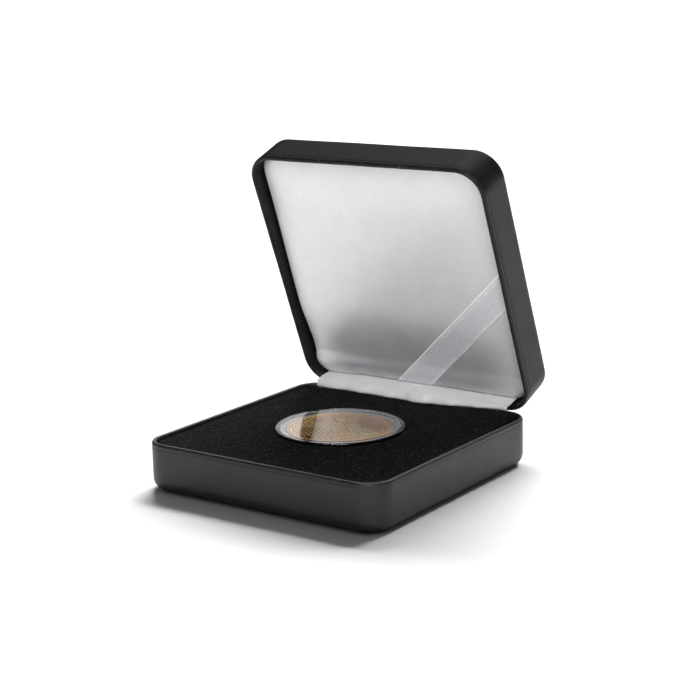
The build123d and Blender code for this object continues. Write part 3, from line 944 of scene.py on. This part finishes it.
def polyline(points, count):
    """Evenly spaced points on a smooth curve through the given ones (Catmull-Rom)."""
    p = np.asarray(points, float)
    p = np.concatenate([[2 * p[0] - p[1]], p, [2 * p[-1] - p[-2]]])
    dense = []
    for i in range(1, len(p) - 2):
        for t in np.linspace(0, 1, 24, endpoint=False):
            a, b, c, d = p[i - 1], p[i], p[i + 1], p[i + 2]
            dense.append(0.5 * (2 * b + (c - a) * t + (2 * a - 5 * b + 4 * c - d) * t ** 2
                                + (3 * b - a - 3 * c + d) * t ** 3))
    dense.append(p[-2])
    dense = np.array(dense)
    step = np.linalg.norm(np.diff(dense, axis=0), axis=1)
    where = np.concatenate([[0], np.cumsum(step)])
    marks = np.linspace(0, where[-1], count)
    return np.column_stack([np.interp(marks, where, dense[:, k]) for k in range(p.shape[1])]), where[-1]


def strip_section(x):
    """(y, z) points of the strip at x, from behind the insert, over the hinge, to behind the pad."""
    velvet_y = VELVET_HIGH[1]
    velvet_z = float(velvet_height(np.array([x]), np.array([velvet_y - 0.8]))[0])
    tuck_y = velvet_y + 0.28
    over_hinge = HINGE_Z + 1.75
    crest_z = 0.45 * (velvet_z + 1.3) + 0.55 * over_hinge
    puff = 1.0 * exp(-((x - 3) / 7.0) ** 2) + 0.3 * exp(-((x + 24) / 9.0) ** 2)
    puff += 0.26 * sin(x * 0.55) + 0.08 * sin(x * 1.3 + 1.0)
    sag = 0.45 * sin(x * 0.21 + 0.7) + 0.16 * sin(x * 0.73)
    at_pad_z = CROWN_Z + 2.25 + 0.2 * sin(x * 0.31)
    _, pad_edge_y, pad_edge_z = open_lid([x, pad_back(x) + 0.14, at_pad_z])
    _, tucked_y, tucked_z = open_lid([x, pad_back(x) + 0.16, PAD_REAR_Z - 1.2])
    return [
        (tuck_y + 0.15, velvet_z - 4.0),
        (tuck_y + 0.05, velvet_z - 1.4),
        (tuck_y - 0.3, velvet_z + 0.08),
        (velvet_y - 0.75 - puff, velvet_z + 0.26),
        (velvet_y - 0.95 - puff, velvet_z + 0.8 + 0.2 * sag),
        (velvet_y - 0.2 - 0.75 * puff, crest_z + 0.3 * sag),
        (velvet_y + 1.0 - 0.45 * puff, over_hinge + 0.35 * sag),
        (pad_edge_y - 1.6, pad_edge_z - 0.35 + 0.2 * sag),
        (pad_edge_y, pad_edge_z + 0.05),
        (tucked_y, tucked_z),
    ]


def hinge_strip():
    """The strip's sections side by side, with fine creases; returns the piece and its UVs."""
    xs = np.linspace(STRIP_LEFT, STRIP_RIGHT, 190)
    rows = 44
    grid = np.zeros((len(xs), rows, 3))
    uv = np.zeros((len(xs), rows, 2))
    for i, x in enumerate(xs):
        line, length = polyline(strip_section(x), rows)
        grid[i, :, 0] = x
        grid[i, :, 1:] = line
        uv[i, :, 0] = x
        uv[i, :, 1] = np.linspace(0, length, rows)
    creases = 0.10 * ripple(grid, 4.5, 77)[..., None] + 0.03 * ripple(grid, 1.8, 78)[..., None]
    grid = grid + creases * np.array([0, -0.8, 0.6])
    return cloth_strip("hinge_satin", grid, STRIP_T), uv


strip, strip_uv = hinge_strip()
set_uv(strip, strip_uv)
finish_piece(strip, STRIP_SATIN, "hinge_strip")


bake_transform(strip)


# ---- bow springs
def bow_springs():
    """Two strips of spring steel, flat on the leaves and bent round the pin between the knuckles."""
    low, high = box("hinge_springs")
    width = 5.6
    gap = (high[0] - low[0]) / 2 - width
    r = KNUCKLE_R + 0.1
    reach = 7.0
    line = [(-r, -reach + d) for d in np.linspace(0, reach, 8)[:-1]]
    line += [(-r * cos(t), r * sin(t)) for t in np.linspace(0, OPEN, 12)]
    for d in np.linspace(0, reach, 8)[1:]:
        line.append((-r * cos(OPEN) + d * sin(OPEN), r * sin(OPEN) + d * cos(OPEN)))
    line = np.array(line)
    made = []
    for name, side in (("bow_spring_left", -1), ("bow_spring_right", 1)):
        across = side * (gap + np.linspace(0, width, 7))
        grid = np.zeros((len(across), len(line), 3))
        grid[:, :, 0] = across[:, None]
        grid[:, :, 1] = HINGE_Y + line[:, 0]
        grid[:, :, 2] = HINGE_Z + line[:, 1]
        made.append(cloth_strip(name, grid, 0.2))
    return made


for spring in bow_springs():
    finish_piece(spring, STEEL, "hinge_springs")
    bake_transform(spring)


# ---- the capsule
RING_IN, RING_OUT = 16.45, 18.2
SKIRT_R = 18.35
ROOF_T = 1.7


def rounded_corner(r, z, radius, out_r, up_z, steps=5):
    """Fillet points at the corner (r, z); out_r and up_z are the signs of its two edges' far sides."""
    a = np.linspace(0, pi / 2, steps)
    cr, cz = r + out_r * radius, z + up_z * radius
    return [(cr - out_r * radius * cos(t), cz - up_z * radius * sin(t)) for t in a]


def capsule_lower():
    """Floor and coin ring, every edge softened as moulded."""
    outer, top = TRAY_HIGH[0], TRAY_HIGH[2]
    z0, coin_z = TRAY_LOW[2], COIN_LOW[2]
    floor_z = coin_z - 0.004
    return lathe("clear_lower_half", [
        (0, z0), (6.0, z0), (12.0, z0), (outer - 1.4, z0),
        *rounded_corner(outer, z0, 0.6, -1, 1)[::-1],
        (outer, coin_z - 0.12),
        *rounded_corner(outer, coin_z, 0.1, -1, -1),
        (RING_OUT + 0.15, coin_z), (RING_OUT, coin_z + 0.15), (RING_OUT, top - 0.3),
        *rounded_corner(RING_OUT, top, 0.15, -1, -1),
        *rounded_corner(RING_IN, top, 0.15, 1, -1)[::-1],
        (RING_IN, coin_z + 0.02), (RING_IN - 0.2, floor_z), (12.0, floor_z), (0, floor_z),
    ], 300)


def capsule_upper():
    """Roof and skirt; the roof's edge is rounded, with a shallow moulded step inside it."""
    outer, z0, z1 = CAP_HIGH[0], CAP_LOW[2], CAP_HIGH[2]
    roof = z1 - ROOF_T
    return lathe("clear_upper_half", [
        (0, z1), (8.0, z1), (15.0, z1), (17.6, z1), (17.9, z1 - 0.02), (18.1, z1 - 0.10), (18.5, z1 - 0.12),
        *rounded_corner(outer, z1 - 0.12, 0.5, -1, -1, 8)[::-1],
        (outer, z0 + 0.4),
        *rounded_corner(outer, z0, 0.15, -1, 1),
        *rounded_corner(SKIRT_R, z0, 0.15, 1, 1)[::-1],
        (SKIRT_R, roof - 0.5),
        *rounded_corner(SKIRT_R, roof, 0.3, -1, -1),
        (15.0, roof), (8.0, roof), (0, roof),
    ], 300)


lower = capsule_lower()
finish_piece(lower, FROSTED, "capsule_bottom")
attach(lower, "capsule_tray")
upper = capsule_upper()
finish_piece(upper, PLASTIC, "capsule_top")
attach(upper, "capsule_cap")


# ---- the coin
COIN_R = COIN_HIGH[0]
FIELD_DROP = 0.28
REEDS = 160
BEADS = 90
BEAD_RING = 14.75
# Leaves stand in pairs, one off either side of their ring and tilted from it, in radians.
LEAF_RING = 13.35
LEAF_OFF = 0.1925
LEAF_TILT = 0.375
LEAVES = 13


def bar(value, edge):
    """1 where value is positive, with a soft edge that wide."""
    return smooth(value / edge + 0.5)


def wreath(x, y):
    """Pairs of leaves up both sides, from near the bottom almost to the top."""
    h = np.zeros_like(x)
    for sign in (-1, 1):
        for k in range(LEAVES):
            turn = radians(-90 + sign * (20 + 7.4 * k))
            for side in (1, -1):
                r = LEAF_RING + side * LEAF_OFF
                leaf = turn + sign * (pi / 2 - side * LEAF_TILT)
                dx, dy = x - r * cos(turn), y - r * sin(turn)
                u = dx * cos(leaf) + dy * sin(leaf)
                v = dy * cos(leaf) - dx * sin(leaf)
                h = np.maximum(h, 0.15 * np.sqrt(np.clip(1 - (u / 0.95) ** 2 - (v / 0.33) ** 2, 0, 1)))
    return h


def landscape(x, y):
    """Relief of the face: sun with rays behind mountains, hills, a lake's waves. Heights in mm."""
    ridge = 2.0 + 2.6 * np.exp(-((x + 4.2) / 3.2) ** 2) + 4.0 * np.exp(-((x - 2.4) / 2.7) ** 2)
    ridge += 1.6 * np.exp(-((x - 8.2) / 2.2) ** 2) + 0.35 * np.sin(x * 2.1) + 0.18 * np.sin(x * 5.3 + 1)
    hills = -1.4 + 1.1 * np.sin(x * 0.42 + 0.6) + 0.3 * np.sin(x * 1.3)
    shore = -4.6 + 0.35 * np.sin(x * 0.8 + 2.0)
    sun_x, sun_y = x + 5.2, y - 7.6
    sun = np.hypot(sun_x, sun_y)
    rays = np.arctan2(sun_y, sun_x)
    sky = bar(y - ridge, 0.35)
    h = 0.16 * bar(1.9 - sun, 0.25) * sky
    h += 0.07 * bar(np.sin(rays * 14) - 0.1, 0.7) * bar(sun - 2.5, 0.3) * bar(5.6 - sun, 1.0) * sky
    h += 0.15 * bar(ridge - y, 0.3) * bar(y - hills, 0.4)
    crease = np.abs(np.sin(x * 1.35 + y * 1.9)) + 0.35 * np.sin(x * 3.1 - y * 1.2)
    h += 0.06 * bar(ridge - y, 0.3) * bar(y - hills, 0.3) * (1 - smooth(crease))
    h += 0.10 * bar(hills - y, 0.35) * bar(y - shore, 0.35)
    h += 0.03 * np.sin(x * 2.6 + y * 4.0) * bar(hills - y, 0.3)
    h += 0.05 * bar(shore - y, 0.3) * (1 + np.sin(y * 5.2 + 0.8 * np.sin(x * 0.9)))
    h *= 1.35 * bar(12.6 - np.hypot(x, y), 0.3)
    return np.maximum(h, wreath(x, y))


def plain_back(x, y):
    """Relief of the back: an eight-point star in a ring of dots."""
    r = np.hypot(x, y)
    a = np.arctan2(y, x)
    star = 5.2 + 3.6 * np.cos(a * 8)
    h = 0.14 * bar(star - r, 0.4) * (0.6 + 0.4 * np.abs(np.cos(a * 4)))
    return h + 0.06 * bar(0.35 - np.abs(r - 11.2), 0.25)


def rim_and_beads(x, y):
    """The ring of beads and the raised rim, the same on both faces."""
    r = np.hypot(x, y)
    near = (np.arctan2(y, x) / TAU * BEADS) % 1.0 - 0.5
    bead = np.hypot(r - BEAD_RING, near * TAU / BEADS * BEAD_RING)
    h = 0.13 * np.sqrt(np.clip(1 - (bead / 0.36) ** 2, 0, 1))
    return h + FIELD_DROP * smooth((r - 15.25) / 0.3)


def coin_face(relief, side, level):
    """Rings of one face from its middle to the reeded edge, and the height of its middle."""
    a = np.linspace(0, TAU, REEDS * 4, endpoint=False)
    edge_r = COIN_R - 0.02 - 0.09 * (0.5 - 0.5 * np.cos(a * REEDS))
    rings = []
    for r in np.concatenate([np.linspace(0.3, 15.0, 92), np.linspace(15.12, COIN_R - 0.3, 9)]):
        x, y = r * np.cos(a), r * np.sin(a)
        rings.append(turned(r, level + side * (relief(x, y) + rim_and_beads(x, y) - FIELD_DROP), a))
    rings += [turned(edge_r - 0.1, level - side * 0.04, a), turned(edge_r, level - side * 0.16, a)]
    return rings, level + side * (float(relief(np.zeros(1), np.zeros(1))[0]) - FIELD_DROP)


def coin_body():
    """Both struck faces and the reeded edge between them."""
    face, face_z = coin_face(landscape, 1, COIN_HIGH[2] - 0.01)
    back, back_z = coin_face(plain_back, -1, COIN_LOW[2] + 0.01)
    return ring_stack("struck_coin", face + back[::-1], face_z, back_z)


coin = coin_body()
finish_piece(coin, GOLD, "coin")
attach(coin, "loose_coin")


# ---- CAD nodes that stay
def dress(material, *nodes):
    """Gives CAD nodes a material."""
    for node in nodes:
        mesh = NODES[node].data
        mesh.materials.clear()
        mesh.materials.append(material)


dress(SHELL, "base_shell", "lid_shell")
dress(STEEL, "hinge_leaf_base", "hinge_leaf_lid", "hinge_pin", "hinge_rivets_base", "hinge_rivets_lid")
dress(FOAM, "insert_foam", "lid_spacer")
dress(BOARD, "insert_board", "lid_board")


# ---- stage, light and camera
FLOOR_HALF = 60000.0


def floor():
    """A flat floor far past the camera's view."""
    corners = np.array([(-1, -1, 0), (1, -1, 0), (1, 1, 0), (-1, 1, 0)]) * FLOOR_HALF
    plane = mesh_piece("studio_floor", corners, [(0, 1, 2, 3)])
    plane.data.materials.append(floor_material())
    return plane


def towards(azimuth, elevation):
    """Direction from the case to a light; azimuth 0 is in front, 90 right, 180 behind."""
    a, e = radians(azimuth), radians(elevation)
    return Vector((sin(a) * cos(e), -cos(a) * cos(e), sin(e)))


def place_light(name, data, azimuth, elevation, distance=10.0):
    """A lamp that distance away, in metres, looking at the case."""
    lamp = bpy.data.objects.new(name, data)
    direction = towards(azimuth, elevation)
    lamp.location = direction * distance
    lamp.rotation_euler = direction.to_track_quat("Z", "Y").to_euler()
    bpy.context.scene.collection.objects.link(lamp)
    return lamp


def sun(name, azimuth, elevation, strength, spread):
    """A sun lamp whose disc is spread degrees wide."""
    data = bpy.data.lights.new(name, "SUN")
    data.energy = strength
    data.angle = radians(spread)
    return place_light(name, data, azimuth, elevation)


def strip_light(name, azimuth, elevation, strength, wide, high, distance=20.0):
    """A long soft strip, wide by high degrees as the case sees it; strength as a sun's."""
    data = bpy.data.lights.new(name, "AREA")
    data.shape = "RECTANGLE"
    data.size = 2 * distance * tan(radians(wide / 2))
    data.size_y = 2 * distance * tan(radians(high / 2))
    data.energy = strength * pi * distance ** 2
    return place_light(name, data, azimuth, elevation, distance)


def light_only(lamp, obj):
    """Light linking: this lamp lights obj alone. Returns the list of what it lights."""
    lit = bpy.data.collections.new(lamp.name + "_lights")
    lit.objects.link(obj)
    lamp.light_linking.receiver_collection = lit
    return lit


def keep_off(lamp, obj):
    """Light linking: this lamp lights everything but obj."""
    light_only(lamp, obj).collection_objects[0].light_linking.link_state = "EXCLUDE"


def studio_world(strength):
    """White to the camera, and a weak even light of that strength to everything else."""
    world = bpy.data.worlds.new("studio")
    world.use_nodes = True
    background = world.node_tree.nodes["Background"]
    background.inputs["Color"].default_value = (1.0, 1.0, 1.0, 1)
    seen = put(world.node_tree, "ShaderNodeLightPath").outputs["Is Camera Ray"]
    level = put(world.node_tree, "ShaderNodeMapRange", {"Value": seen, "To Min": strength, "To Max": 1.0})
    world.node_tree.links.new(level.outputs[0], background.inputs["Strength"])
    bpy.context.scene.world = world


CAMERA_AT = (294.19, -405.26, 158.31)
CAMERA_TURN = (35.57, 13.38, -1.37)
LENS = 88.43


def camera():
    """A long lens at the front right, looking along azimuth and elevation, with a slight roll."""
    azimuth, elevation, roll = CAMERA_TURN
    data = bpy.data.cameras.new("camera")
    data.lens = LENS
    data.sensor_width = 36.0
    data.clip_start = 0.01
    data.clip_end = 200.0
    view = bpy.data.objects.new("camera", data)
    level = towards(azimuth, elevation).to_track_quat("Z", "Y").to_matrix()
    axes = level @ Matrix.Rotation(radians(roll), 3, "Z")
    view.matrix_world = Matrix.Translation(Vector(CAMERA_AT) * MM) @ axes.to_4x4()
    bpy.context.scene.collection.objects.link(view)
    bpy.context.scene.camera = view


bpy.context.scene.view_settings.view_transform = "Standard"
stage_floor = floor()
studio_world(0.1)
# Each light: azimuth, elevation, strength, then its spread or its width and height in degrees.
keep_off(strip_light("strip_behind", 196, 51, 5.8, 40, 12), lid_leather)
keep_off(sun("soft_top", 190, 76, 0.15, 70), lid_leather)
keep_off(strip_light("white_card_behind", 212, 15, 0.34, 50, 26), lid_leather)
keep_off(sun("front_fill", 30, 35, 1.7, 40), stage_floor)
light_only(sun("lid_top", 200, 60, 0.7, 50), lid_leather)
camera()
